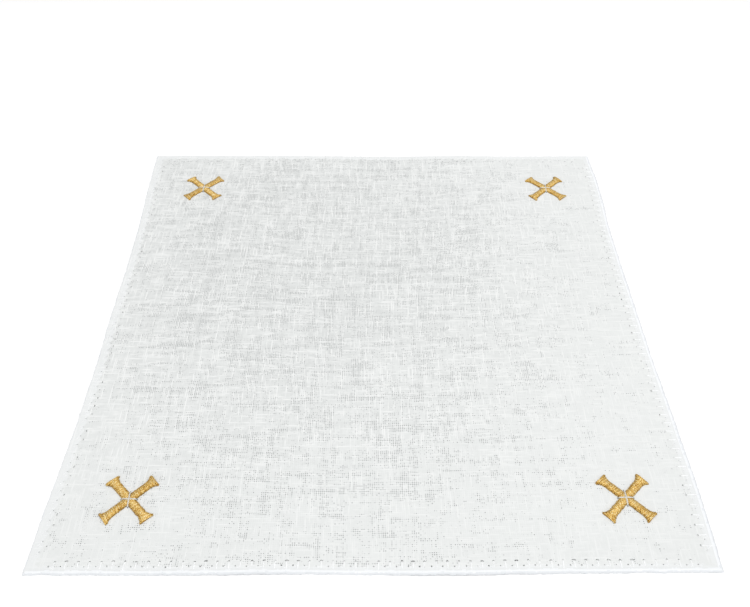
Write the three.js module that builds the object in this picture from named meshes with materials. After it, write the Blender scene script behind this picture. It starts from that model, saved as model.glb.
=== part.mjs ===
// An altar cloth: a square of white linen laid flat, with a narrow turned hem and a small cross of gold
// thread in each corner. Each cross has a four-rayed star of silver thread over its middle.
//
// Millimetres, +Z up. The origin is on the underside, in the middle of the cloth. -Y is the front edge.
import * as THREE from "three";
import { mergeVertices } from "three/addons/utils/BufferGeometryUtils.js";

// The cloth
const CLOTH_SIDE = 400; // nominal, edge to edge
const CLOTH_THICK = 1.0; // with the loft of the linen as it lies
const FIELD_CELLS = 25; // squares across the field inside the hem; odd, so that the origin is inside one

// The hem, from the cut edge inwards: how far in, and how much thicker than the field
const HEM = [
  { inset: 0, extra: -0.1 },
  { inset: 0.8, extra: 0.2 },
  { inset: 1.8, extra: 0.4 },
  { inset: 2.8, extra: 0.15 },
  { inset: 9.2, extra: 0 },
];

// How far each edge strays outwards from the true square. "along" runs from front to back on the left
// and right edges, and from left to right on the front and back edges.
const EDGE_STRAY = [
  { along: -200, left: 1.8, right: 2.0, front: 0.7, back: 2.2 },
  { along: -150, left: 0.2, right: 2.8, front: 0.8, back: 2.4 },
  { along: -100, left: -2.3, right: 1.6, front: 0.9, back: 1.7 },
  { along: -50, left: -3.3, right: 0.3, front: 0.3, back: 1.1 },
  { along: 0, left: -2.3, right: -0.5, front: 0.9, back: 0.9 },
  { along: 50, left: -3.2, right: -1.1, front: 1.1, back: 1.0 },
  { along: 100, left: -2.4, right: -0.8, front: 0.3, back: 1.2 },
  { along: 150, left: -0.1, right: 1.4, front: -0.1, back: 1.4 },
  { along: 200, left: 0.9, right: 0.2, front: -0.2, back: 1.8 },
];
const STRAY_STEP = 50;

// Where the linen stands a little off the table: the middle of each low swell, how far it reaches, and
// how high it is. Everything else lies flat, with all four corners.
const SWELLS = [
  { x: -200, y: -70, reachX: 40, reachY: 62, rise: 0.8 }, // left edge
  { x: -200, y: 62, reachX: 44, reachY: 56, rise: 0.7 },
  { x: 200, y: -88, reachX: 34, reachY: 44, rise: 0.6 }, // right edge
  { x: 200, y: 34, reachX: 46, reachY: 72, rise: 0.9 },
  { x: -84, y: -200, reachX: 62, reachY: 30, rise: 0.6 }, // front edge
  { x: 58, y: -200, reachX: 72, reachY: 34, rise: 0.8 },
  { x: -60, y: 200, reachX: 66, reachY: 30, rise: 0.6 }, // back edge
  { x: 74, y: 200, reachX: 58, reachY: 32, rise: 0.7 },
  { x: -112, y: 16, reachX: 66, reachY: 92, rise: 0.5 }, // field
  { x: 112, y: -46, reachX: 74, reachY: 52, rise: 0.5 },
  { x: -46, y: -122, reachX: 82, reachY: 42, rise: 0.4 },
  { x: 72, y: 112, reachX: 72, reachY: 58, rise: 0.4 },
];

// Embroidery. The arms of a cross run towards the corners of the cloth.
const CROSSES = [
  { name: "front_left", x: -150.4, y: -153.2 },
  { name: "front_right", x: 155.6, y: -152.6 },
  { name: "back_left", x: -150.2, y: 153.5 },
  { name: "back_right", x: 153.0, y: 152.8 },
];
const SEWN_GAP = 0.3; // between pieces that are sewn together
const ARM_LENGTH = 19.2; // from the middle to the end of an arm
const STEM_HALF = 2.65; // half the width of an arm
const FLARE_START = 13.8; // the arm widens from here in a hollow curve
const FLARE_END = 17.9; // to the tips of its serif here
const FLARE_SLANT = 0.25; // 0 is a quarter of an ellipse, 1 a straight slant
const SERIF_HALF = 4.7; // half the width there
const END_HALF = 4.4; // half the width of its straight end
const END_SLOPE = 2.5; // the pad gets lower over this last length
const PAD_EDGE = 0.35; // height of the stitches where they go into the linen
const PAD_CROWN = 1.15; // height along the middle of an arm
const RAY_LENGTH = 5.5; // of the star, left and right
const RAY_HALF = 0.55; // half the width of a ray at its root
const RAY_TIP_HALF = 0.2;
const RAY_THICK = 0.5;
const STAR_TALL = 1.06; // the star is a little longer from front to back

const { clamp, lerp, degToRad } = THREE.MathUtils;

// A smooth curve through one column of EDGE_STRAY
function stray(edge, along) {
  const at = (clamp(along, -200, 200) + 200) / STRAY_STEP;
  const row = Math.min(Math.floor(at), EDGE_STRAY.length - 2);
  const value = (i) => EDGE_STRAY[clamp(i, 0, EDGE_STRAY.length - 1)][edge];
  const [a, b, c, d] = [row - 1, row, row + 1, row + 2].map(value);
  const t = at - row;
  return b + 0.5 * t * (c - a + t * (2 * a - 5 * b + 4 * c - d + t * (3 * (b - c) + d - a)));
}

// How far the underside of the linen is off the table
function lift(x, y) {
  return SWELLS.reduce((sum, s) => {
    const d = ((x - s.x) / s.reachX) ** 2 + ((y - s.y) / s.reachY) ** 2;
    return d < 1 ? sum + s.rise * (1 - d) ** 2 : sum;
  }, 0);
}

// Thickness of the linen at a distance from its nearest cut edge
function thickness(inset) {
  const next = HEM.findIndex((row) => row.inset > inset);
  if (next < 0) return CLOTH_THICK;
  const [a, b] = [HEM[next - 1], HEM[next]];
  return CLOTH_THICK + lerp(a.extra, b.extra, (inset - a.inset) / (b.inset - a.inset));
}

// A place in the true square, moved with the edges: the stray fades towards the middle of the cloth
function strayed(x, y) {
  const half = CLOTH_SIDE / 2;
  const across = (at, low, high) => (at < 0 ? -low : high) * Math.abs(at / half) ** 3;
  return new THREE.Vector2(
    x + across(x, stray("left", y), stray("right", y)),
    y + across(y, stray("front", x), stray("back", x)),
  );
}

function bodyFrom(triangles, name, material) {
  const geometry = new THREE.BufferGeometry().setFromPoints(triangles.flat());
  const merged = mergeVertices(geometry, 1e-3);
  merged.computeVertexNormals();
  const mesh = new THREE.Mesh(merged, material);
  mesh.name = name;
  return mesh;
}

// The two triangles of a patch whose corners a, b, c, d run anticlockwise as seen from outside
const quad = (a, b, c, d) => [[a, b, c], [a, c, d]];

function linenCloth(material) {
  const half = CLOTH_SIDE / 2;
  const field = half - HEM.at(-1).inset;
  const lines = [
    ...HEM.map((row) => row.inset - half),
    ...Array.from({ length: FIELD_CELLS - 1 }, (_, i) => lerp(-field, field, (i + 1) / FIELD_CELLS)),
    ...HEM.map((row) => half - row.inset).reverse(),
  ];
  const last = lines.length - 1;
  const point = (i, j, above) => {
    const inset = half - Math.max(Math.abs(lines[i]), Math.abs(lines[j]));
    const place = strayed(lines[i], lines[j]);
    const z = lift(place.x, place.y) + (above ? thickness(inset) : 0);
    return new THREE.Vector3(place.x, place.y, z);
  };
  const triangles = [];
  for (let i = 0; i < last; i++) {
    for (let j = 0; j < last; j++) {
      const ring = [[i, j], [i + 1, j], [i + 1, j + 1], [i, j + 1]];
      triangles.push(...quad(...ring.map(([a, b]) => point(a, b, true))));
      triangles.push(...quad(...ring.reverse().map(([a, b]) => point(a, b, false))));
    }
    const rim = (a, b) => quad(point(...a, false), point(...b, false), point(...b, true), point(...a, true));
    triangles.push(...rim([i, 0], [i + 1, 0]), ...rim([last, i], [last, i + 1]));
    triangles.push(...rim([i + 1, last], [i, last]), ...rim([0, i + 1], [0, i]));
  }
  return bodyFrom(triangles, "linen_cloth", material);
}

// Four like arms round a middle point. Near the middle each arm fills its quarter, so that it shares its
// sides with its neighbours. stations run along an arm, across goes from its one side to the other.
function fourArmed({ stations, across, turn, halfWidth, under, top, name, material }) {
  const triangles = [];
  for (let arm = 0; arm < 4; arm++) {
    const angle = degToRad(turn + 90 * arm);
    const point = (i, j, above) => {
      const s = stations[i];
      const side = across[j] * Math.min(s, halfWidth(s));
      const x = s * Math.cos(angle) - side * Math.sin(angle);
      const y = s * Math.sin(angle) + side * Math.cos(angle);
      return new THREE.Vector3(x, y, above ? top(s, across[j], x, y) : under(s, x, y));
    };
    const end = stations.length - 1;
    const sides = across.length - 1;
    for (let i = 0; i < end; i++) {
      for (let j = 0; j < sides; j++) {
        const ring = [[i, j], [i + 1, j], [i + 1, j + 1], [i, j + 1]];
        const above = ring.map(([a, b]) => point(a, b, true));
        const below = ring.reverse().map(([a, b]) => point(a, b, false));
        // At the middle the patch is a triangle
        triangles.push(...(i ? quad(...above) : [above.slice(0, 3)]));
        triangles.push(...(i ? quad(...below) : [below.slice(0, 3)]));
      }
    }
    const wall = (a, b) => quad(point(...a, false), point(...b, false), point(...b, true), point(...a, true));
    for (let i = 0; i < end; i++) {
      if (stations[i] < halfWidth(stations[i])) continue;
      triangles.push(...wall([i, 0], [i + 1, 0]), ...wall([i + 1, sides], [i, sides]));
    }
    for (let j = 0; j < sides; j++) triangles.push(...wall([end, j], [end, j + 1]));
  }
  return bodyFrom(triangles, name, material);
}

// Half the width of a cross's arm: straight, then a hollow flare to a serif with blunt tips
function armHalf(s) {
  if (s > FLARE_END) return lerp(SERIF_HALF, END_HALF, (s - FLARE_END) / (ARM_LENGTH - FLARE_END));
  const t = clamp((s - FLARE_START) / (FLARE_END - FLARE_START), 0, 1);
  return lerp(STEM_HALF, SERIF_HALF, lerp(1 - Math.sqrt(1 - t * t), t, FLARE_SLANT));
}

// Height of a cross above the linen: a round pad, lower at the middle of the cross and at its ends
function padHeight(s, t) {
  const fromMiddle = clamp(s / STEM_HALF, 0, 1);
  const toEnd = clamp((ARM_LENGTH - s) / END_SLOPE, 0, 1);
  const crown = PAD_CROWN * Math.min(lerp(0.55, 1, fromMiddle), lerp(0.6, 1, toEnd));
  return lerp(PAD_EDGE, crown, Math.sqrt(1 - t * t));
}

function goldCross(spot, material) {
  const rest = (x, y) => lift(spot.x + x, spot.y + y);
  const flare = (share) => lerp(FLARE_START, FLARE_END, share);
  const mesh = fourArmed({
    stations: [0, STEM_HALF, FLARE_START / 2, ...[0, 0.4, 0.75, 1].map(flare), ARM_LENGTH],
    across: [-1, -0.62, 0, 0.62, 1],
    turn: 45,
    halfWidth: armHalf,
    under: (s, x, y) => rest(x, y),
    top: (s, t, x, y) => rest(x, y) + padHeight(s, s ? t : 0),
    name: "gold_cross_" + spot.name,
    material,
  });
  mesh.position.set(spot.x, spot.y, CLOTH_THICK + SEWN_GAP);
  return mesh;
}

function silverStar(spot, material) {
  const seamEnd = STEM_HALF * Math.SQRT2; // where a ray leaves the cross and dips towards the linen
  const bed = (s) => {
    // The highest part of the cross under the ray, at its sides
    const [near, far] = [(s + RAY_HALF) / Math.SQRT2, (s - RAY_HALF) / Math.SQRT2];
    const onArm = padHeight(near, clamp(far / Math.min(near, STEM_HALF), 0, 1));
    return s <= seamEnd ? Math.max(onArm, padHeight(RAY_HALF, 0)) : PAD_EDGE;
  };
  const thick = (s) => lerp(RAY_THICK, RAY_THICK / 2, s / RAY_LENGTH);
  const mesh = fourArmed({
    stations: [0, RAY_HALF, 1.7, 2.8, seamEnd, RAY_LENGTH],
    across: [-1, 0, 1],
    turn: 0,
    halfWidth: (s) => lerp(RAY_HALF, RAY_TIP_HALF, clamp((s - RAY_HALF) / (RAY_LENGTH - RAY_HALF), 0, 1)),
    under: (s) => bed(s),
    top: (s, t) => bed(s) + thick(s) * (1 - 0.5 * Math.abs(s ? t : 0)),
    name: "silver_star_" + spot.name,
    material,
  });
  mesh.geometry.scale(1, STAR_TALL, 1);
  mesh.position.set(spot.x, spot.y, CLOTH_THICK + 2 * SEWN_GAP + lift(spot.x, spot.y));
  return mesh;
}

const linen = new THREE.MeshStandardMaterial({ color: 0xf1f3f3, roughness: 0.92, metalness: 0 });
const goldThread = new THREE.MeshStandardMaterial({ color: 0xe0b055, roughness: 0.42, metalness: 0.6 });
const silverThread = new THREE.MeshStandardMaterial({ color: 0xd4d6d8, roughness: 0.4, metalness: 0.6 });

const altarCloth = new THREE.Group();
altarCloth.add(linenCloth(linen));
for (const spot of CROSSES) {
  altarCloth.add(goldCross(spot, goldThread.clone()), silverStar(spot, silverThread.clone()));
}
export default altarCloth;
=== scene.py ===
import math

import bpy
import numpy as np
from mathutils import Euler, Matrix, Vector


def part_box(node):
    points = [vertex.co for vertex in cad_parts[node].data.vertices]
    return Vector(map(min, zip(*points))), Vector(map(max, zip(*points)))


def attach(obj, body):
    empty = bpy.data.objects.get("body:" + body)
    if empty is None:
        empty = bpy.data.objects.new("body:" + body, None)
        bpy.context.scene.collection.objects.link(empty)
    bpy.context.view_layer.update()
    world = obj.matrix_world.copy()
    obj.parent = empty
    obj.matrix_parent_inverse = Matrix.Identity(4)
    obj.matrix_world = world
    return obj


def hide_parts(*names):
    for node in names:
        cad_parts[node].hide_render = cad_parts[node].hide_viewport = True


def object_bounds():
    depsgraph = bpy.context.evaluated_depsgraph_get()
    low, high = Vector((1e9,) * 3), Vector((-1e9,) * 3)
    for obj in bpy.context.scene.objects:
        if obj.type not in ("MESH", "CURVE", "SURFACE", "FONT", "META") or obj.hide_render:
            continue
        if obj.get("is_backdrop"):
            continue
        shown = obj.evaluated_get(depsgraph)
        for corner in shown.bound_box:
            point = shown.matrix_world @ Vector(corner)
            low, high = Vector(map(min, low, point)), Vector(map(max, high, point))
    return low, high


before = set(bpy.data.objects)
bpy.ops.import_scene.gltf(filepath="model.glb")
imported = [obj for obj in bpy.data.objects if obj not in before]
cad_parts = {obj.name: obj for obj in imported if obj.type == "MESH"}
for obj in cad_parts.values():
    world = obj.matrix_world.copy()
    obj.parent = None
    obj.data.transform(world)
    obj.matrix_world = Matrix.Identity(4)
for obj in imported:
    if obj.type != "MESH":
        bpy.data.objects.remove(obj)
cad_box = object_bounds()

MM = 0.001

# The cloth
HALF = 200.0  # half its nominal side
FIELD_TOP = 1.0  # the linen's upper face above its underside
PANEL_CELLS = 200  # grid squares across the panel inside the hem
PANEL_UNDERLAP = 0.8  # how far the panel runs in under the hem
PANEL_TUCK = 0.35  # and how much lower it lies there
UNDER = 0.02  # its underside above the table
THREAD_PITCH = 1.25  # from thread to thread. The real one is about 0.5, drawn coarser so that it shows

# How far each edge strays outwards from the true square, every 50 mm along it. The left and right edges
# run from front to back, the front and back edges from left to right.
EDGE_STRAY = {
    "left": (1.8, 0.2, -2.3, -3.3, -2.3, -3.2, -2.4, -0.1, 0.9),
    "right": (2.0, 2.8, 1.6, 0.3, -0.5, -1.1, -0.8, 1.4, 0.2),
    "front": (0.7, 0.8, 0.9, 0.3, 0.9, 1.1, 0.3, -0.1, -0.2),
    "back": (2.2, 2.4, 1.7, 1.1, 0.9, 1.0, 1.2, 1.4, 1.8),
}
STRAY_STEP = 50.0

# Where the linen stands a little off the table
SWELLS = (
    # middle x, y, reach in x, in y, rise
    (-200, -70, 40, 62, 0.8),
    (-200, 62, 44, 56, 0.7),
    (200, -88, 34, 44, 0.6),
    (200, 34, 46, 72, 0.9),
    (-84, -200, 62, 30, 0.6),
    (58, -200, 72, 34, 0.8),
    (-60, 200, 66, 30, 0.6),
    (74, 200, 58, 32, 0.7),
    (-112, 16, 66, 92, 0.5),
    (112, -46, 74, 52, 0.5),
    (-46, -122, 82, 42, 0.4),
    (72, 112, 72, 58, 0.4),
)

# The weave, counted in threads
BUNDLE = 2.5  # gaps side by side that are wide or narrow together
GAP_RUN, BUNDLE_RUN, YARN_RUN = 12.0, 17.0, 13.0  # how far along they stay as wide or as thick
ROW_APART = 7.31  # from one thread's noise to the next one's, so that they are unlike
WANDER = 1.6  # how strongly the threads wander
WANDER_RUN = 20  # and over how many threads
BAR_PACE = (0.025, 0.22)  # how fast the noise of the open bars changes along a bar and across it
BARS_PLACE = (5.1, 31.7, 0.0)  # where in the noise they are taken from
BARS_LYING, BARS_STANDING = 1.2, 0.8  # how much the bars from side to side and from front to back show
# Two patches of the cloth: the middle, how narrow it is from side to side and from front to back, with 1
# for round and less for wider, and how far from the middle its effect is full and where it ends
DULL_PATCH = ((-70, 75), (0.85, 0.9), (70, 260))  # the linen is darker on the left and at the back
HOLED_PATCH = ((-30, 50), (1.0, 0.6), (110, 230))  # pin holes are most in the middle

# Patterns on the threads and the table
FIBRE = 0.4  # how long the tufts in thick flax yarn are
FLECK = 0.5  # the flecks on metallised thread. One turn of its film is about 0.4, drawn a little coarser
TWIST_TURNS = 1.8  # turns to a millimetre of the cotton's twist, drawn coarser so that it shows
TABLE_PATCHES = 3.0  # patches of shade to a metre of the table top
GLEAM = "gleam"  # the name under which the satin threads keep how each stretch of them catches the light

# The hem: a roll at the edge, and inside it a band with two rows of pin holes
ROLL = (
    # distance from the edge, height of the upper face where the roll is full, and where it lies flat
    (0.0, 0.1, 0.1),
    (0.25, 0.55, 0.7),
    (0.6, 0.98, 1.0),
    (1.0, 1.26, 1.06),
    (1.5, 1.36, 1.1),
    (2.1, 1.26, 1.08),
    (2.7, 1.1, 1.05),
    (4.0, 1.02, 1.02),
)
OUTER_ROW = (4.0, 5.6, 7.2)  # a band of holes: where it starts, its holes, where it ends
INNER_ROW = (7.2, 8.7, 10.2)
HEM_WIDTH = INNER_ROW[2]
# How far in from the edge each shade of the linen reaches at the front, right, back and left
PAINTED_EDGE_SHADOW_WIDTH = (0.0, 0.9, 0.0, 0.0)  # painted contact shadow, darkest, along the very edge
PAINTED_EDGE_SHADE_WIDTH = (1.0, 1.7, 0.7, 0.7)  # painted shade along the outermost part of the fold
ROLL_WHITE = (2.3, 2.9, 0.0, 0.0)  # the roll, where the linen lies in several layers and looks whitest
TURNED_WHITE = (4.8, 6.1, 5.0, 6.5)  # the turned linen, whiter than a single layer
ROLL_FULL = (1.0, 1.0, 0.2, 0.0)  # how full the roll is at the front, right, back and left
ROW_OFFSET = (-0.85, 0.3, 0.0, 0.0)  # how much further in the pin holes lie on each side
HOLE_SIZE = (1.3, 0.9, 1.0, 1.0)  # how large they are there
BAR_DEPTH = (0.14, 0.14, 0.36, 0.36)  # and how deep the bars of thread lie in the linen
STITCHES = 57  # along one side
STITCH_STEPS = 7  # mesh columns to a stitch
ROW_SHIFT = 3  # columns from an outer hole to the next inner one
STITCH = 2 * (HALF - HEM_WIDTH) / STITCHES

# The photo's view, worked out from where the cloth's four corners are in it
LENS, SENSOR = 37.0, 36.0
CAMERA_PLACE = (-0.47, -391.08, 429.31)
LOOK_DOWN, TURN_RIGHT, CAMERA_ROLL = 46.688, 0.244, 0.150  # degrees

# The light tent: between these two heights, as shares of straight up, it goes from one strength to another
TENT_RISE, TENT_STRENGTH = (0.3, 0.9), (0.64, 1.2)
TENT_BACK, TENT_RIGHT = -0.25, 0.1  # how much brighter it gets straight back and straight to the right
LAMP_SIZE, LAMP_WATTS, LAMP_PLACE = 450, 1.0, (90, 0, 750)

# The crosses and stars
SPOTS = ("front_left", "front_right", "back_left", "back_right")
ARM_LENGTH = 19.2  # from the middle of the cross
STEM_HALF = 2.65  # half the width of an arm's straight part
FLARE_START, FLARE_END = 13.8, 17.9  # where the arm widens to its serif
FLARE_SLANT = 0.25  # 0 is a quarter of an ellipse, 1 a straight slant
SERIF_HALF = 4.7  # half the width of the serif
END_HALF = 4.4  # half the width at the very end
END_SLOPE = 2.5  # the pad gets lower over this last length
PAD_EDGE, PAD_CROWN = 0.3, 1.45  # how high the pad is at its edge and its crest
PAD_LEAN = 0.1  # how far the crest lies to the left, as a share of the half width
SATIN_PITCH = 0.5  # of the gold thread. The real one is about 0.4, drawn coarser so that it shows
SATIN_RADIUS = 0.31  # half the width of the gold thread
SATIN_SLANT = 0.6  # how far a thread runs on along the arm from its middle to its end
SATIN_STEPS = 11  # points across the arm
UNDERLAY_DEPTH = 0.14  # of the padding below the threads' middles
RAY_LENGTH = 5.5  # of the star, from its middle to the left and right
STAR_TALL = 1.06  # its rays to the front and back are this much longer
# How high a silver stitch runs above the linen, by its distance from the star's middle, and at its end
STAR_RUN = ((0, 1.34), (1.2, 1.34), (3.6, 1.2), (4.6, 0.7))
STAR_END = -0.1
STAR_OVER = 0.22  # how much higher the upper stitch crosses the lower one


def stray(edge, along):
    """A smooth curve through one row of EDGE_STRAY."""
    rows = np.array(EDGE_STRAY[edge])
    last = len(rows) - 1
    at = (np.clip(along, -HALF, HALF) + HALF) / STRAY_STEP
    row = np.minimum(np.floor(at), last - 1).astype(int)
    a, b, c, d = (rows[np.clip(row + k, 0, last)] for k in (-1, 0, 1, 2))
    t = at - row
    return b + 0.5 * t * (c - a + t * (2 * a - 5 * b + 4 * c - d + t * (3 * (b - c) + d - a)))


def lift(x, y):
    """How far the underside of the linen is off the table."""
    total = np.zeros(np.broadcast(x, y).shape)
    for at_x, at_y, reach_x, reach_y, rise in SWELLS:
        d = ((x - at_x) / reach_x) ** 2 + ((y - at_y) / reach_y) ** 2
        total += rise * np.clip(1 - d, 0, None) ** 2
    return total


def on_cloth(x, y, height):
    """A point of the true square, moved with the edges, at a height above the linen's underside."""
    left, right = stray("left", y), stray("right", y)
    front, back = stray("front", x), stray("back", x)
    moved_x = x + np.where(x < 0, -left, right) * np.abs(x / HALF) ** 3
    moved_y = y + np.where(y < 0, -front, back) * np.abs(y / HALF) ** 3
    return np.stack([moved_x, moved_y, lift(moved_x, moved_y) + height], axis=-1)


def uneven(x, y, length, seed):
    """Gentle unevenness from -1 to 1, with bumps about this long."""
    draw = np.random.default_rng(seed)
    total = np.zeros(np.broadcast(x, y).shape)
    waves = 7
    for _ in range(waves):
        turn, phase = draw.uniform(0, 2 * math.pi, 2)
        per_mm = 2 * math.pi / (length * draw.uniform(0.7, 1.6))
        total += np.sin((x * math.cos(turn) + y * math.sin(turn)) * per_mm + phase)
    return total / waves


def hem_height(inset, full=1.0):
    """Height of the hem's upper face above its underside. full is 1 for a full roll and 0 for a flat hem."""
    places, rolled, flat = zip(*ROLL, (OUTER_ROW[2], 1.02, 1.02), (HEM_WIDTH, FIELD_TOP, FIELD_TOP))
    return full * np.interp(inset, places, rolled) + (1 - full) * np.interp(inset, places, flat)


# Meshes


def weld(patches):
    """Joins patches of corner points into one list of points and faces, without doubled points."""
    corners = np.concatenate([p.reshape(-1, 3) for p in patches])
    _, first, where = np.unique(np.round(corners, 4), axis=0, return_index=True, return_inverse=True)
    where, faces, start = where.reshape(-1), [], 0
    for p in patches:
        count, sides = p.shape[:2]
        faces.append(where[start : start + count * sides].reshape(count, sides))
        start += count * sides
    return corners[first], faces


def grid_faces(rows, columns):
    """The squares of a grid, each as the numbers of its four points, which are counted row by row."""
    number = np.arange(rows * columns).reshape(rows, columns)
    ring = np.stack([number[:-1, :-1], number[1:, :-1], number[1:, 1:], number[:-1, 1:]], axis=2)
    return ring.reshape(-1, 4)


def patches_of(grid):
    """The squares of a grid of points, each as its four corners."""
    return grid.reshape(-1, 3)[grid_faces(*grid.shape[:2])]


def rim_edges(faces):
    """The edges that only one face has, in that face's direction."""
    edges = np.concatenate([np.stack([f, np.roll(f, -1, axis=1)], axis=2).reshape(-1, 2) for f in faces])
    _, where, uses = np.unique(np.sort(edges, axis=1), axis=0, return_inverse=True, return_counts=True)
    return edges[uses[where.reshape(-1)] == 1]


def closed_slab(top, bottom, faces):
    """A closed body from an upper face, the same points lower down, and a wall round every rim."""
    count = len(top)
    wall = rim_edges(faces)
    sides = np.stack([wall[:, 1], wall[:, 0], wall[:, 0] + count, wall[:, 1] + count], axis=1)
    under = [f[:, ::-1] + count for f in faces]
    return np.concatenate([top, bottom]), [*faces, *under, sides]


def strands(path, across, half_width, half_height, sides=5):
    """Threads along paths of points, one path a row. across is each thread's level sideways direction."""
    path = np.asarray(path, float)
    count, steps = path.shape[:2]
    tangent = np.gradient(path, axis=1)
    tangent /= np.linalg.norm(tangent, axis=2, keepdims=True)
    across = np.broadcast_to(np.asarray(across, float), path.shape)
    up = np.cross(tangent, across)
    turn = np.arange(sides) * 2 * math.pi / sides + math.pi / 2
    wide = np.broadcast_to(half_width, (count, steps))[..., None, None] * across[:, :, None]
    high = np.broadcast_to(half_height, (count, steps))[..., None, None] * up[:, :, None]
    points = path[:, :, None] + wide * np.cos(turn)[:, None] + high * np.sin(turn)[:, None]
    number = np.arange(count * steps * sides).reshape(count, steps, sides)
    after = np.roll(number, -1, axis=2)
    tube = np.stack([number[:, :-1], after[:, :-1], after[:, 1:], number[:, 1:]], axis=-1).reshape(-1, 4)
    caps = np.concatenate([number[:, 0, ::-1], number[:, -1]])
    return points.reshape(-1, 3), [tube, caps]


def build_piece(name, parts, replaces=(), fold=None):
    """One object from parts of points, faces and a material. Edges bent by more than fold stay sharp."""
    points, polygons, wears, materials = [], [], [], []
    for part_points, part_faces, material in parts:
        start = sum(len(p) for p in points)
        points.append(part_points)
        if material not in materials:
            materials.append(material)
        for faces in part_faces:
            polygons += (faces + start).tolist()
            wears += [materials.index(material)] * len(faces)
    mesh = bpy.data.meshes.new(name)
    mesh.from_pydata((np.concatenate(points) * MM).tolist(), [], polygons)
    mesh.polygons.foreach_set("material_index", wears)
    mesh.shade_smooth()
    if fold:
        mesh.set_sharp_from_angle(angle=math.radians(fold))
    for material in materials:
        mesh.materials.append(material)
    made = bpy.data.objects.new(name, mesh)
    bpy.context.scene.collection.objects.link(made)
    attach(made, "root")
    if replaces:
        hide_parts(*replaces)
    return made


# Materials

# Painted shadow for the weave's open pin holes, where the shaded table would show through
PAINTED_HOLE_SHADOW = "#5f6364"
GOLD_SHADES = ((0.24, "#8e6422"), (0.42, "#d4a64f"), (0.56, "#efd282"), (0.74, "#fef3cf"))
UNDERLAY_SHADES = ((0.3, "#98702a"), (0.7, "#c0964a"))
SILVER_SHADES = ((0.3, "#bfbcb3"), (0.5, "#dad6cc"), (0.7, "#f0ede4"))
# Painted shade for the silver thread's ends, where they go down into the linen
SILVER_END_PAINTED_SHADE = ((0.3, "#6b706d"), (0.7, "#8f9491"))


def linear(code):
    """An sRGB hex colour as linear RGBA."""
    parts = [int(code[i : i + 2], 16) / 255 for i in (1, 3, 5)]
    return [p / 12.92 if p <= 0.04045 else ((p + 0.055) / 1.055) ** 2.4 for p in parts] + [1.0]


def add(tree, kind, *values, output=None, **named):
    """Adds a node and returns its first output in use, or the one asked for. Its inputs in use take the
    values or links in turn. A name with a capital is an input too, and any other name is a setting."""
    made = tree.nodes.new("ShaderNode" + kind)
    for name, value in named.items():
        if name.islower():
            setattr(made, name, value)
    pairs = list(zip([socket for socket in made.inputs if socket.enabled], values))
    pairs += [(made.inputs[name], value) for name, value in named.items() if not name.islower()]
    for socket, value in pairs:
        if isinstance(value, bpy.types.NodeSocket):
            tree.links.new(value, socket)
        else:
            socket.default_value = value
    return made.outputs[output] if output else next(s for s in made.outputs if s.enabled)


def new_material(name, **shader):
    """A material with a Principled shader whose constant values are set on its own sockets."""
    material = bpy.data.materials.new(name)
    material.use_nodes = True
    tree = material.node_tree
    principled = tree.nodes["Principled BSDF"]
    for socket, value in shader.items():
        principled.inputs[socket.replace("_", " ")].default_value = value
    return material, tree, principled


def uneven_run(tree, number, along, cells):
    """Unevenness of one thread or gap, in stretches of this many cells."""
    row = add(tree, "Math", number, ROW_APART, operation="MULTIPLY")
    spot = add(tree, "CombineXYZ", row, add(tree, "Math", along, cells, operation="DIVIDE"))
    return add(tree, "TexNoise", spot, Scale=1.0, Detail=2.0, Roughness=0.6)


def weave_cell(tree, at, along):
    """The cell of one direction of the weave, a gap between two threads: how far the place is from the
    gap's middle, with 1 in the middle of a thread, the gap's number and width, and the yarn's thickness."""
    share = add(tree, "Math", at, operation="FRACT")
    share = add(tree, "Math", share, 2.0, -1.0, operation="MULTIPLY_ADD")
    off = add(tree, "Math", share, operation="ABSOLUTE")
    gap = add(tree, "Math", at, operation="FLOOR")
    bundle = add(tree, "Math", at, 1 / BUNDLE, operation="MULTIPLY")
    bundle = add(tree, "Math", bundle, operation="FLOOR")
    widths = uneven_run(tree, gap, along, GAP_RUN), uneven_run(tree, bundle, along, BUNDLE_RUN)
    width = add(tree, "Math", *widths, operation="ADD")
    thread = add(tree, "Math", at, operation="ROUND")
    return off, gap, width, uneven_run(tree, thread, along, YARN_RUN)


def open_bars(tree, threads):
    """Bars of about five threads, some 5 cm long, where the weave is more open."""
    bars = []
    for pace in (BAR_PACE, BAR_PACE[::-1]):
        spot = add(tree, "VectorMath", threads, (*pace, 0), BARS_PLACE, operation="MULTIPLY_ADD")
        bars.append(add(tree, "TexNoise", spot, Scale=1.0, Detail=3.0, Roughness=0.65))
    standing = add(tree, "Math", bars[1], BARS_STANDING, operation="MULTIPLY")
    return add(tree, "Math", bars[0], BARS_LYING, standing, operation="MULTIPLY_ADD")


def patch_effect(tree, place, patch, full, none):
    """A value that goes from full to none as a place on the cloth gets further from a patch."""
    (x, y), (narrow_x, narrow_y), (near, far) = patch
    shift = (-x * narrow_x * MM, -y * narrow_y * MM, 0)
    spot = add(tree, "VectorMath", place, (narrow_x, narrow_y, 0), shift, operation="MULTIPLY_ADD")
    distance = add(tree, "VectorMath", spot, operation="LENGTH")
    return add(tree, "MapRange", distance, near * MM, far * MM, full, none)


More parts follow.
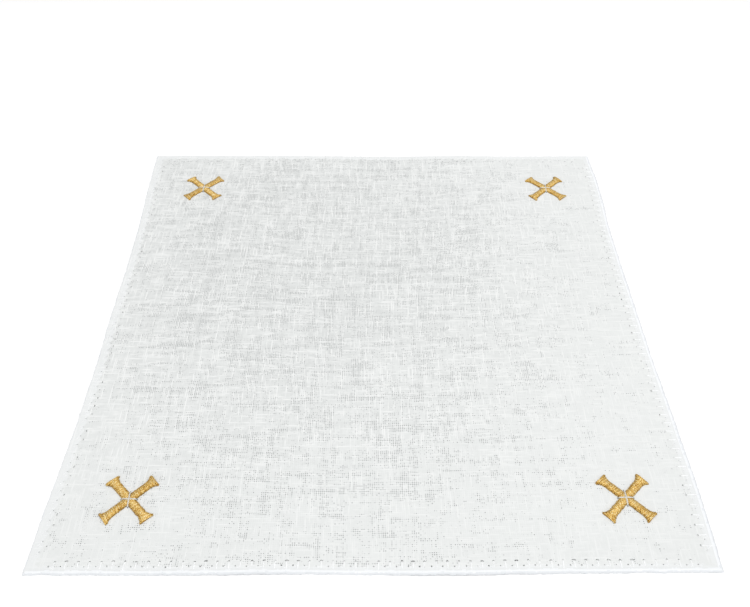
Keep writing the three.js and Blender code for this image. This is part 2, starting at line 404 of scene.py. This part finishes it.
def weave_holes(tree, off, gap, open_share, left_back_share):
    """How deep a place is in an open pin hole of the weave. Chance says which holes are open, and they
    are larger and more where the weave is more open, but shallower on the left and at the back."""
    chance = add(tree, "TexWhiteNoise", add(tree, "CombineXYZ", *gap))
    chance = add(tree, "MapRange", chance, 0.0, 1.0, 0.12, 0.88)
    depth = add(tree, "Math", open_share, chance, operation="SUBTRACT")
    depth = add(tree, "MapRange", depth, 0.0, 0.4)
    deepest = add(tree, "MapRange", left_back_share, 0.0, 1.0, 0.74, 0.62)
    hole = add(tree, "Math", depth, deepest, operation="MULTIPLY")
    size = add(tree, "MapRange", open_share, 0.0, 1.0, 0.32, 0.54)
    for distance in off:
        inside = add(tree, "Math", size, distance, operation="SUBTRACT")
        inside = add(tree, "MapRange", inside, -0.08, 0.12)
        hole = add(tree, "Math", hole, inside, operation="MULTIPLY")
    return hole


def thin_yarn(tree, yarn, bars, left_back_share):
    """How dull a place looks because the yarn runs thin there, most on the left and at the back."""
    thin = add(tree, "Math", *yarn, operation="ADD")
    thin = add(tree, "MapRange", thin, 1.04, 0.82)
    strength = add(tree, "MapRange", left_back_share, 0.1, 0.9, 0.15, 1.0)
    thin = add(tree, "Math", thin, strength, operation="MULTIPLY")
    dull_bars = add(tree, "MapRange", bars, 0.8, 1.15, 0.45, 1.0)
    dull_bars = add(tree, "Math", left_back_share, dull_bars, operation="MULTIPLY")
    return add(tree, "Math", thin, dull_bars, operation="MAXIMUM")


def thick_yarn(tree, yarn, off, left_back_share):
    """How bright a place looks because it is on a thick stretch of yarn."""
    thick = []
    for thickness, distance in zip(yarn, off):
        plump = add(tree, "MapRange", thickness, 0.52, 0.64)
        thick.append(add(tree, "Math", plump, distance, operation="MULTIPLY"))
    thick = add(tree, "Math", *thick, operation="MAXIMUM")
    strength = add(tree, "MapRange", left_back_share, 0.0, 0.5, 0.5, 1.0)
    return add(tree, "Math", thick, strength, operation="MULTIPLY")


def woven_linen(name, dull, ground, bright, openness):
    """Bleached flax in plain weave, beetled flat. Its yarn is uneven, which gives bright thick stretches,
    and rows and patches of open pin holes where neighbouring threads run thin."""
    finish = {"Roughness": 0.88, "IOR": 1.53, "Sheen_Weight": 0.08, "Sheen_Roughness": 0.5}
    material, tree, shader = new_material(name, **finish)
    place = add(tree, "TexCoord", output="Object")
    threads = add(tree, "VectorMath", place, 1 / (THREAD_PITCH * MM), operation="SCALE")
    drift = add(tree, "TexNoise", threads, Scale=1 / WANDER_RUN, Detail=1.0, output="Color")
    drift = add(tree, "VectorMath", drift, (0.5, 0.5, 0.5), operation="SUBTRACT")
    threads = add(tree, "VectorMath", drift, (WANDER, WANDER, 0), threads, operation="MULTIPLY_ADD")
    split = add(tree, "SeparateXYZ", threads).node.outputs
    off, gap, width, yarn = zip(*(weave_cell(tree, split[a], split[b]) for a, b in ("XY", "YX")))

    bars = open_bars(tree, threads)
    left_back_share = patch_effect(tree, place, DULL_PATCH, 1.0, 0.0)
    opened = add(tree, "MapRange", bars, 0.7, 1.3, -0.4, 0.4)
    opened = add(tree, "Math", opened, patch_effect(tree, place, HOLED_PATCH, 0.28, -0.08), operation="ADD")
    opened = add(tree, "Math", opened, add(tree, "Math", *width, operation="ADD"), operation="ADD")
    open_share = add(tree, "MapRange", opened, 1.9 - openness, 2.6 - openness)
    hole = weave_holes(tree, off, gap, open_share, left_back_share)

    thin, thick = thin_yarn(tree, yarn, bars, left_back_share), thick_yarn(tree, yarn, off, left_back_share)
    cloth = add(tree, "Mix", thin, linear(ground), linear(dull), data_type="RGBA")
    cloth = add(tree, "Mix", thick, cloth, linear(bright), data_type="RGBA")
    # Open pin holes get the painted shadow
    cloth = add(tree, "Mix", hole, cloth, linear(PAINTED_HOLE_SHADOW), data_type="RGBA")
    tree.links.new(cloth, shader.inputs["Base Color"])

    # Each thread has a round top
    height = add(tree, "Math", hole, -0.8, operation="MULTIPLY")
    for distance in off:
        fall = add(tree, "Math", 1.0, distance, operation="SUBTRACT")
        fall = add(tree, "Math", fall, 2.0, operation="POWER")
        rise = add(tree, "Math", 1.0, fall, operation="SUBTRACT")
        height = add(tree, "Math", height, rise, operation="ADD")
    bump = add(tree, "Bump", Height=height, Strength=0.12, Distance=0.12 * MM)
    tree.links.new(bump, shader.inputs["Normal"])
    return material


def slub_linen():
    """A thick soft stretch of flax yarn, whiter than the weave because no pin holes cross it."""
    material, tree, shader = new_material("thick linen yarn", Roughness=0.85, IOR=1.53)
    place = add(tree, "TexCoord", output="Object")
    fibre = add(tree, "TexNoise", place, Scale=1 / (FIBRE * MM), Detail=2.0)
    tint = add(tree, "Mix", fibre, linear("#e6e8e7"), linear("#f1f2f1"), data_type="RGBA")
    tree.links.new(tint, shader.inputs["Base Color"])
    return material


def stitching_cotton():
    """Mercerised cotton, twisted and gassed: smoother and whiter than the linen, with a slight gleam."""
    finish = {"Roughness": 0.6, "IOR": 1.53, "Sheen_Weight": 0.1}
    material, tree, shader = new_material("mercerised white cotton", **finish)
    place = add(tree, "TexCoord", output="Object")
    twist = add(tree, "TexNoise", place, Scale=TWIST_TURNS / MM, Detail=1.0)
    tint = add(tree, "Mix", twist, linear("#f1f3f4"), linear("#fdfdfd"), data_type="RGBA")
    tree.links.new(tint, shader.inputs["Base Color"])
    bump = add(tree, "Bump", Height=twist, Strength=0.4, Distance=0.1 * MM)
    tree.links.new(bump, shader.inputs["Normal"])
    return material


def metallic_thread(name, shades, metallic, roughness):
    """Metallised film wound round a core: it breaks the light into flecks about as long as its twist. Each
    stretch of satin thread catches the light in its own way, and least where it dips into the linen."""
    material, tree, shader = new_material(name, Metallic=metallic, Roughness=roughness)
    place = add(tree, "TexCoord", output="Object")
    fleck = add(tree, "TexNoise", place, Scale=1 / (FLECK * MM), Detail=1.0, Roughness=0.5)
    gleam = add(tree, "Attribute", output="Fac", attribute_name=GLEAM)
    ramp = add(tree, "ValToRGB", add(tree, "Math", fleck, gleam, operation="ADD"))
    stops = ramp.node.color_ramp.elements
    stops.remove(stops[1])
    for at, shade in shades:
        stops.new(at).color = linear(shade)
    stops.remove(stops[0])
    tree.links.new(ramp, shader.inputs["Base Color"])
    bump = add(tree, "Bump", Height=fleck, Strength=0.6, Distance=0.1 * MM)
    tree.links.new(bump, shader.inputs["Normal"])
    return material


# The linen


def linen_panel(material):
    """The field inside the hem: a thin closed sheet on the solid's swells, level with the hem where they
    meet and tucked under it beyond."""
    inner = HALF - HEM_WIDTH
    line = np.linspace(-inner, inner, PANEL_CELLS + 1)
    line = np.concatenate([[-inner - PANEL_UNDERLAP], line, [inner + PANEL_UNDERLAP]])
    x, y = np.meshgrid(line, line, indexing="ij")
    tuck = PANEL_TUCK * (np.maximum(np.abs(x), np.abs(y)) > inner + 0.01)
    top = on_cloth(x, y, field_height(x, y) - tuck)
    bottom = on_cloth(x, y, np.full(x.shape, UNDER))
    points, faces = closed_slab(top.reshape(-1, 3), bottom.reshape(-1, 3), [grid_faces(*x.shape)])
    panel = build_piece("linen_panel", [(points, faces, material)], ["linen_cloth"], fold=12)
    lay_bake_map(panel.data, [len(f) for f in faces])
    return panel


def lay_bake_map(mesh, counts):
    """A flat map for the panel: its top over most of the square, its underside small in one corner, and
    its rim in a strip, so that the weave stays sharp when it is baked."""
    top_share, under_share, margin, strip = 0.92, 0.068, 0.003, 0.03
    corners = np.zeros(len(mesh.loops), int)
    mesh.loops.foreach_get("vertex_index", corners)
    places = np.zeros(len(mesh.vertices) * 3)
    mesh.vertices.foreach_get("co", places)
    share = places.reshape(-1, 3)[corners, :2] / (2 * HALF * MM * 1.02) + 0.5
    under, rim = 4 * counts[0], 4 * (counts[0] + counts[1])
    spots = np.empty((len(corners), 2))
    spots[:under] = margin + top_share * share[:under]
    low = share[under:rim]
    spots[under:rim] = top_share + 0.008 + under_share * np.stack([low[:, 0], 1 - low[:, 1]], axis=-1)
    square = np.array([(0, 0), (1, 0), (1, 1), (0, 1)])
    step = (np.arange(counts[2])[:, None, None] + square * (0.8, 0)) * (top_share / counts[2], 0)
    spots[rim:] = (step + (margin, top_share + 0.02) + square * (0, strip)).reshape(-1, 2)
    mesh.uv_layers.new(name="OFBake").uv.foreach_set("vector", spots.ravel())


def field_height(x, y):
    """The upper face of the panel, slightly crumpled, with puckers where the hem's stitches pull."""
    crumple = 0.1 * uneven(x, y, 46, 5) + 0.05 * uneven(x, y, 17, 6)
    ribs = 0.02 * (uneven(x, 0 * y, 5.2, 7) + uneven(0 * x, y, 4.6, 8))
    depth = HALF - HEM_WIDTH - np.maximum(np.abs(x), np.abs(y))
    along = np.where(np.abs(x) > np.abs(y), y, x)
    pucker = 0.07 * np.cos(2 * math.pi * along / STITCH) * np.exp(-np.clip(depth, 0, None) / 4.5)
    fade = np.clip(depth / 12, 0, 1)
    return FIELD_TOP + fade * (crumple + ribs) + np.clip(depth, 0, 1) * pucker


SIDES = (
    # along the side, and inwards from it, for front, right, back and left
    ((1, 0), (0, 1)),
    ((0, 1), (-1, 0)),
    ((-1, 0), (0, -1)),
    ((0, -1), (1, 0)),
)


def on_side(side, along, inset):
    """A place on the true square from its distance along a side and in from it."""
    (ax, ay), (ix, iy) = SIDES[side]
    return along * ax - (HALF - inset) * ix, along * ay - (HALF - inset) * iy


def hole_cells(row, first, count, openness, stretches, side, draw):
    """One band of square patches with a pin hole in each: their corners as (along, inset, height)."""
    start, middle, end = row
    step = STITCH / STITCH_STEPS
    run = np.arange(STITCH_STEPS) * step - STITCH / 2
    loop = [(a, start) for a in run] + [(STITCH / 2, v) for v in (start, middle)]
    loop += [(-a, end) for a in run] + [(-STITCH / 2, v) for v in (end, middle)]
    loop = np.array(loop)
    turn = np.arctan2((loop[:, 1] - middle) / (end - start), loop[:, 0] / STITCH)
    centre = first + STITCH / 2 + np.arange(count) * STITCH
    # Stretches of holes are pulled open and others have closed again
    pull = 0.5 + 0.7 * uneven(centre, 0 * centre, 45, draw.integers(1000))
    radius = (0.12 + openness * np.clip(draw.beta(2.2, 1.6, count) * (0.6 + pull), 0, 1)) * HOLE_SIZE[side]
    stretch = draw.uniform(*stretches, count)
    jog = draw.normal(0, 0.12, (2, count)) + [[0], [ROW_OFFSET[side]]]
    rings = []
    for share, raised in ((0.0, -0.12), (0.22, 0.1), (1.0, 0.0)):
        hole_a = centre[:, None] + jog[0][:, None] + np.cos(turn) * (radius * stretch)[:, None]
        hole_v = middle + jog[1][:, None] + np.sin(turn) * radius[:, None]
        a = hole_a * (1 - share) + (centre[:, None] + loop[:, 0]) * share
        v = hole_v * (1 - share) + loop[:, 1] * share
        rings.append(np.stack([a, v, hem_height(v) + raised], axis=-1))
    bands = []
    for inner, outer in zip(rings, rings[1:]):
        after_in, after_out = np.roll(inner, -1, axis=1), np.roll(outer, -1, axis=1)
        bands.append(np.stack([inner, outer, after_out, after_in], axis=2).reshape(-1, 4, 3))
    holes = np.stack([centre + jog[0], middle + jog[1], radius], axis=1)
    return np.concatenate(bands), holes


def plain_cells(row, columns):
    """The same band without holes, at the ends of a side."""
    a, v = np.meshgrid(columns, row, indexing="ij")
    return patches_of(np.stack([a, v, hem_height(v)], axis=-1))


def hem_corner(side):
    """The square corner after a side."""
    steps = np.array([*(row[0] for row in ROLL), *OUTER_ROW[1:], *INNER_ROW[1:]])
    u, v = np.meshgrid(steps, steps, indexing="ij")
    x, y = on_side(side, HALF - u, v)
    return patches_of(np.stack([x, y, hem_height(np.minimum(u, v))], axis=-1))[:, ::-1]


def linen_hem(shades):
    """The hem all round: a closed body with real pin holes. shades are the field's linen and then the
    hem's own ones out to the edge. Returns the hem with its holes, side by side."""
    draw = np.random.default_rng(11)
    end = HALF - HEM_WIDTH
    step = STITCH / STITCH_STEPS
    columns = -end + np.arange(STITCHES * STITCH_STEPS + 1) * step
    roll = np.array([row[0] for row in ROLL])
    patches, holes = [], []
    for side in range(4):
        a, v = np.meshgrid(columns, roll, indexing="ij")
        local = [patches_of(np.stack([a, v, hem_height(v)], axis=-1))]
        outer, outer_holes = hole_cells(OUTER_ROW, -end, STITCHES, 0.26, (0.8, 1.3), side, draw)
        start = -end + ROW_SHIFT * step
        inner, inner_holes = hole_cells(INNER_ROW, start, STITCHES - 1, 0.32, (0.9, 2.5), side, draw)
        local += [outer, inner]
        local.append(plain_cells(INNER_ROW, columns[: ROW_SHIFT + 1]))
        local.append(plain_cells(INNER_ROW, columns[ROW_SHIFT - STITCH_STEPS - 1 :]))
        for squares in local:
            x, y = on_side(side, squares[..., 0], squares[..., 1])
            patches.append(np.stack([x, y, squares[..., 2]], axis=-1))
        holes.append((outer_holes, inner_holes))
        patches.append(hem_corner(side))
    flat, faces = weld(patches)
    x, y, height = flat.T
    inset = HALF - np.maximum(np.abs(x), np.abs(y))
    on_roll = np.clip(1 - inset / ROLL[-1][0], 0, 1)
    rough = 0.4 * uneven(x, y, 13, 21) + 0.3 * uneven(x, y, 5, 22) + 0.2 * uneven(x, y, 2.4, 23)
    height = height + hem_height(inset, roll_share(x, y)) - hem_height(inset)
    height = height * (1 + 0.2 * on_roll * rough)
    top = on_cloth(x, y, height)
    top[:, :2] += (rough * on_roll * (inset < ROLL[-1][0]))[:, None] * outward(x, y)
    # The heavy roll sags back towards the table where the linen beside it stands off
    sag = 0.7 * lift(x, y) * np.clip(1 - inset, 0, 1)
    bottom = on_cloth(x, y, UNDER - sag)
    bottom[:, :2] += (rough * on_roll)[:, None] * outward(x, y)
    points, faces = closed_slab(top, bottom, faces)
    hem = build_piece("linen_hem", [(points, faces, shades[0])], fold=50)
    x, y, _ = np.concatenate([flat, flat])[np.concatenate(faces)].mean(axis=1).T
    shade_hem(hem, x, y, shades)
    return hem, holes


def shade_hem(hem, x, y, shades):
    """Gives the hem's faces, whose middles are at x and y, their shades of linen in wavy bands."""
    for material in shades[1:]:
        hem.data.materials.append(material)
    inset = HALF - np.maximum(np.abs(x), np.abs(y))
    side = np.argmin([HALF + y, HALF - x, HALF - y, HALF + x], axis=0)
    wavy = 0.7 * uneven(x, y, 9, 25) + 0.5 * uneven(x, y, 3, 26)
    bands = np.zeros(x.shape, int)
    # The outermost two bands are painted shade along the fold and a painted contact shadow at the edge
    for band, widths in enumerate((TURNED_WHITE, ROLL_WHITE, PAINTED_EDGE_SHADE_WIDTH, PAINTED_EDGE_SHADOW_WIDTH), 1):
        bands[inset + 0.6 * wavy < np.array(widths)[side]] = band
    hem.data.polygons.foreach_set("material_index", bands)


def roll_share(x, y):
    """1 where the hem is rolled full, on the front and right sides, and less on the left and back sides,
    where it lies flatter."""
    depths = np.stack([HALF + y, HALF - x, HALF - y, HALF + x])
    near = np.exp(-depths / 1.5)
    full = np.array(ROLL_FULL).reshape((4,) + (1,) * np.ndim(x))
    return (near * full).sum(axis=0) / near.sum(axis=0)


def outward(x, y):
    """The level direction from a place to its nearest edge."""
    side_on = np.abs(x) > np.abs(y)
    return np.stack([np.sign(x) * side_on, np.sign(y) * ~side_on], axis=-1)


def hem_stitches(holes, material):
    """White thread: a bar of two threads from each inner hole out over the band to the roll, and a short
    stitch along the roll from each outer hole."""
    draw = np.random.default_rng(31)
    parts = []
    for side, (outer, inner) in enumerate(holes):
        along_side, inwards = (np.array([*d, 0.0]) for d in SIDES[side])
        # Bars: they come up out of the inner hole, cross the band and sink in beside the roll's crest
        count = len(inner)
        t = np.linspace(0, 1, 8)
        reach = 2.3 + 2.6 * draw.beta(1.2, 2.4, count)[:, None]
        slant = draw.normal(0, 0.22, count)[:, None]
        inset = (inner[:, 1, None] - 0.1) * (1 - t) + reach * t
        arch = 0.24 * np.sin(np.pi * np.clip(t * 1.02, 0, 1)) ** 0.5 - BAR_DEPTH[side]
        for lean in (-0.17, 0.17):
            along = inner[:, 0, None] + slant * t + lean * np.sin(np.pi * t) ** 0.6
            x, y = on_side(side, along, inset)
            path = on_cloth(x, y, hem_height(inset) + arch)
            width = 0.2 * draw.uniform(0.75, 1.4, (count, 1))
            parts.append((*strands(path, along_side, width, 0.16), material))
        # Short stitches along the foot of the roll
        count = len(outer)
        t = np.linspace(0, 1, 6)
        length = draw.uniform(1.6, 2.8, count)[:, None]
        along = outer[:, 0, None] + 0.3 + t * length
        inset = outer[:, 1, None] * (1 - t) ** 2 + (1 - (1 - t) ** 2) * draw.uniform(3.5, 4.2, count)[:, None]
        x, y = on_side(side, along, inset)
        path = on_cloth(x, y, hem_height(inset) + 0.2 * np.sin(np.pi * t) ** 0.5 - 0.1)
        parts.append((*strands(path, inwards, 0.2, 0.15), material))
    return build_piece("hem_stitches", parts)


def linen_slubs(material):
    """Thick stretches of single threads, lying in the weave a little proud of it."""
    draw = np.random.default_rng(41)
    reach = HALF - HEM_WIDTH - 4
    parts = []
    for runs_along_x in (True, False):
        count = 110
        length = draw.gamma(2.2, 9.0, count) + 5
        thread = np.round(draw.uniform(-reach, reach, count) / THREAD_PITCH) * THREAD_PITCH
        start = draw.uniform(-reach, reach - length)
        t = np.linspace(0, 1, 14)
        along = start[:, None] + length[:, None] * t
        beside = thread[:, None] + 0.18 * uneven(along, thread[:, None], 22, 43)
        x, y = (along, beside) if runs_along_x else (beside, along)
        clear = np.ones(count, bool)
        for spot in SPOTS:
            cx, cy = cross_centre(spot)
            near = (np.abs(x - cx) < ARM_LENGTH) & (np.abs(y - cy) < ARM_LENGTH)
            clear &= ~near.any(axis=1)
        x, y = x[clear], y[clear]
        taper = np.sin(np.pi * np.clip(t, 0.02, 0.98)) ** 0.6
        width = draw.uniform(0.16, 0.34, len(x))[:, None] * taper
        path = on_cloth(x, y, field_height(x, y) - 0.03)
        across = (0, 1, 0) if runs_along_x else (-1, 0, 0)
        parts.append((*strands(path, across, width, 0.12 * taper), material))
    return build_piece("linen_slubs", parts)


# The embroidery


def cross_centre(spot):
    low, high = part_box("gold_cross_" + spot)
    return (low.x + high.x) / 2 / MM, (low.y + high.y) / 2 / MM


def arm_half(s):
    """Half the width of an arm: straight, then a hollow flare to a serif with blunt tips."""
    t = np.clip((s - FLARE_START) / (FLARE_END - FLARE_START), 0, 1)
    hollow = (1 - FLARE_SLANT) * (1 - np.sqrt(1 - t * t)) + FLARE_SLANT * t
    flared = STEM_HALF + (SERIF_HALF - STEM_HALF) * hollow
    past = np.clip((s - FLARE_END) / (ARM_LENGTH - FLARE_END), 0, 1)
    return flared - (SERIF_HALF - END_HALF) * past**2


def pad_height(s, t, lean=0.0):
    """Height of a cross above the linen at a distance from its middle and a share of its half width. The
    crest of the pad leans towards one side, which is steeper."""
    t = np.where(t > lean, (t - lean) / (1 - lean), (t - lean) / (1 + lean))
    from_middle = np.clip(s / STEM_HALF, 0, 1)
    to_end = np.clip((ARM_LENGTH - s) / END_SLOPE, 0, 1)
    crown = PAD_CROWN * np.minimum(0.55 + 0.45 * from_middle, 0.6 + 0.4 * to_end)
    return PAD_EDGE + (crown - PAD_EDGE) * np.sqrt(np.clip(1 - t * t, 0, 1))


def on_arm(spot, angle, s, side, height):
    """A point of a cross or star from its place along an arm, to the side of it and above the linen."""
    cx, cy = cross_centre(spot)
    x = cx + s * math.cos(angle) - side * math.sin(angle)
    y = cy + s * math.sin(angle) + side * math.cos(angle)
    return np.stack([x, y, lift(x, y) + FIELD_TOP + height], axis=-1)


def satin_padding(spot, angle, lean):
    """The padding under the satin threads of one arm, as points and faces."""
    t = np.linspace(-1, 1, SATIN_STEPS)
    s = np.linspace(0, ARM_LENGTH - 0.15, 40)[:, None]
    side = np.minimum(s, arm_half(s)) * t
    height = (pad_height(s, t, lean) - UNDERLAY_DEPTH) * np.clip(s / 0.5, 0, 1)
    top, base = (on_arm(spot, angle, s + 0 * t, side, h) for h in (height, 0 * height))
    return closed_slab(top.reshape(-1, 3), base.reshape(-1, 3), [grid_faces(*side.shape)])


def satin_threads(spot, angle, lean, draw):
    """The satin threads of one arm, each a little off its place, with ragged ends. Returns their points
    and faces, and how each point gleams."""
    t = np.linspace(-1, 1, SATIN_STEPS)
    stations = np.arange(SATIN_PITCH / 2, ARM_LENGTH, SATIN_PITCH)[:, None]
    each = stations.shape
    slant = SATIN_SLANT * t * draw.uniform(0.8, 1.2, each) * np.clip(stations / STEM_HALF, 0, 1)
    s = np.clip(stations + draw.normal(0, 0.03, each) + slant, 0.05, ARM_LENGTH)
    ragged = 0.16 * uneven(s, 9 * np.sign(t), 3.5, draw.integers(1000))
    ragged = ragged + draw.uniform(-0.1, 0.16, each)
    half = np.minimum(s, arm_half(s) + ragged * np.clip(s / STEM_HALF - 0.5, 0, 1))
    height = pad_height(s, t * 0.98, lean) + draw.normal(0, 0.05, each) + draw.normal(0, 0.03, s.shape)
    height = np.where(np.abs(t) == 1, 0.1, height)
    path = on_arm(spot, angle, s, half * t, height)
    along = np.array([math.cos(angle), math.sin(angle), 0.0])
    width = SATIN_RADIUS * draw.uniform(0.88, 1.15, each)
    points, faces = strands(path, along, width, width * 0.95)
    gleam = draw.normal(0, 0.03, each) + draw.normal(0, 0.045, s.shape)
    gleam -= 0.07 * np.clip((np.abs(t) - 0.4) / 0.4, 0, 1)
    return points, faces, np.repeat(gleam.ravel(), len(points) // gleam.size)


def satin_cross(spot, thread, underlay, seed):
    """Gold satin stitch: threads laid side by side across each arm over a padded underlay."""
    draw = np.random.default_rng(seed)
    parts, gleams = [], []
    for arm in range(4):
        angle = math.radians(45 + 90 * arm)
        # The stitches are drawn tight towards the left, so that side is steeper and darker
        lean = PAD_LEAN * np.sign(math.sin(angle))
        padding, padding_faces = satin_padding(spot, angle, lean)
        threads, thread_faces, gleam = satin_threads(spot, angle, lean, draw)
        parts += [(padding, padding_faces, underlay), (threads, thread_faces, thread)]
        gleams += [np.zeros(len(padding)), gleam]
    cross = build_piece("satin_cross_" + spot, parts, ["gold_cross_" + spot])
    cross.data.attributes.new(GLEAM, "FLOAT", "POINT").data.foreach_set("value", np.concatenate(gleams))
    return cross


def thread_star(spot, thread, shaded_end_thread, seed):
    """Two straight stitches of silver thread that cross over the seams of the cross. Their ends, where
    they go down into the linen, are painted dark as shade."""
    draw = np.random.default_rng(seed)
    parts = []
    # The stitch from left to right goes down first, and the other lies over it
    for turn, reach, over in ((0, RAY_LENGTH, 0.0), (90, RAY_LENGTH * STAR_TALL, STAR_OVER)):
        angle = math.radians(turn + draw.normal(0, 1.5))
        across = np.array([-math.sin(angle), math.cos(angle), 0.0])
        places, heights = (list(column) for column in zip(*STAR_RUN, (reach, STAR_END)))
        heights[0] += over
        for strand in (-1, 0, 1):
            s = np.linspace(-1, 1, 25) * (reach - 0.2 * abs(strand) - draw.uniform(0, 0.2))
            side = strand * 0.3 * np.clip((reach + 0.6 - np.abs(s)) / 2.5, 0, 1)
            path = on_arm(spot, angle, s, side, np.interp(np.abs(s), places, heights))[None]
            # The last stretch at each end gets the painted shade
            shares = ((path[:, 1:-1], thread), (path[:, :2], shaded_end_thread), (path[:, -2:], shaded_end_thread))
            for share, material in shares:
                parts.append((*strands(share, across, 0.2, 0.17, 6), material))
    return build_piece("thread_star_" + spot, parts, ["silver_star_" + spot])


# The table and the studio


def photo_camera():
    """The camera in front of the cloth, looking down at it."""
    data = bpy.data.cameras.new("photo_view")
    data.lens, data.sensor_width = LENS, SENSOR
    data.clip_start, data.clip_end = 0.01, 20
    camera = bpy.data.objects.new("photo_view", data)
    bpy.context.scene.collection.objects.link(camera)
    look_down, turn_right, roll = (math.radians(a) for a in (LOOK_DOWN, TURN_RIGHT, CAMERA_ROLL))
    aim = Euler((math.pi / 2 - look_down, 0, -turn_right)).to_matrix() @ Matrix.Rotation(roll, 3, "Z")
    camera.matrix_world = Matrix.Translation([c * MM for c in CAMERA_PLACE]) @ aim.to_4x4()
    bpy.context.scene.camera = camera


def pale_table():
    """A plain white table top under the cloth."""
    # Smooth laminate, pressed on board: even and matt, with no grain to see but a faint change of shade
    material, tree, shader = new_material("matt white laminate", Roughness=0.75, IOR=1.5)
    place = add(tree, "TexCoord", output="Object")
    patches = add(tree, "TexNoise", place, Scale=TABLE_PATCHES, Detail=2.0)
    tint = add(tree, "Mix", patches, linear("#fdfdfd"), linear("#ffffff"), data_type="RGBA")
    tree.links.new(tint, shader.inputs["Base Color"])
    bpy.ops.mesh.primitive_plane_add(size=6, location=(0, 0, -0.1 * MM))
    table = bpy.context.object
    table.name = "table_top"
    table.data.materials.append(material)
    table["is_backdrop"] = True


def studio_light():
    """A bright tent, dimmer towards the table, the back and the left, and a soft lamp over the middle."""
    scene = bpy.context.scene
    scene.view_settings.view_transform = "Standard"
    world = bpy.data.worlds.new("light_tent")
    world.use_nodes = True
    tree = world.node_tree
    tent = tree.nodes["Background"]
    tent.inputs["Color"].default_value = (1, 1, 1, 1)
    way = add(tree, "SeparateXYZ", add(tree, "TexCoord", output="Generated")).node.outputs
    top = add(tree, "MapRange", way["Z"], *TENT_RISE, *TENT_STRENGTH)
    front = add(tree, "Math", way["Y"], TENT_BACK, top, operation="MULTIPLY_ADD")
    fill = add(tree, "Math", way["X"], TENT_RIGHT, front, operation="MULTIPLY_ADD")
    tree.links.new(fill, tent.inputs["Strength"])
    scene.world = world
    data = bpy.data.lights.new("soft_box", "AREA")
    data.size, data.energy = LAMP_SIZE * MM, LAMP_WATTS
    lamp = bpy.data.objects.new("soft_box", data)
    lamp.location = [c * MM for c in LAMP_PLACE]
    scene.collection.objects.link(lamp)


photo_camera()
pale_table()
studio_light()

LINEN = ("bleached plain-weave linen", "#d2d4d3", "#e2e4e3", "#eeefee", 0.0)
# The hem's other shades, from the single layer out to the edge, each with fewer holes than the field
HEM_LINEN = (
    # name, dull, ground and bright colour, how open the weave is
    ("linen turned under double", "#e0e2e2", "#e5e7e7", "#edeeee", -0.35),
    ("linen rolled tight", "#e9ebee", "#eff1f3", "#f5f6f7", -0.7),
    # The next two are painted shade: a grey outline along the fold all round, and a darker painted contact
    # shadow at the right edge
    ("linen at the fold in painted shade", "#d9dcdf", "#e2e5e8", "#ebedef", -0.7),
    ("linen at the fold in painted contact shadow", "#ced1d4", "#d6d9dc", "#dfe1e3", -0.7),
)
linen = woven_linen(*LINEN)
panel = linen_panel(linen)
hem, pin_holes = linen_hem([linen, *(woven_linen(*shade) for shade in HEM_LINEN)])
trims = [hem, hem_stitches(pin_holes, stitching_cotton()), linen_slubs(slub_linen())]

gold = metallic_thread("gold metallised thread", GOLD_SHADES, 0.7, 0.38)
underlay = metallic_thread("gold underlay thread", UNDERLAY_SHADES, 0.2, 0.6)
silver = metallic_thread("silver metallised thread", SILVER_SHADES, 0.4, 0.45)
# The stars' thread ends in painted shade
silver_end_in_shade = metallic_thread("silver thread end in painted shade", SILVER_END_PAINTED_SHADE, 0.3, 0.6)
for number, spot in enumerate(SPOTS):
    trims.append(satin_cross(spot, gold, underlay, 60 + number))
    trims.append(thread_star(spot, silver, silver_end_in_shade, 70 + number))

boxes = {"cad": cad_box, "visual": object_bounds()}
{name: [list(corner) for corner in box] for name, box in boxes.items()}
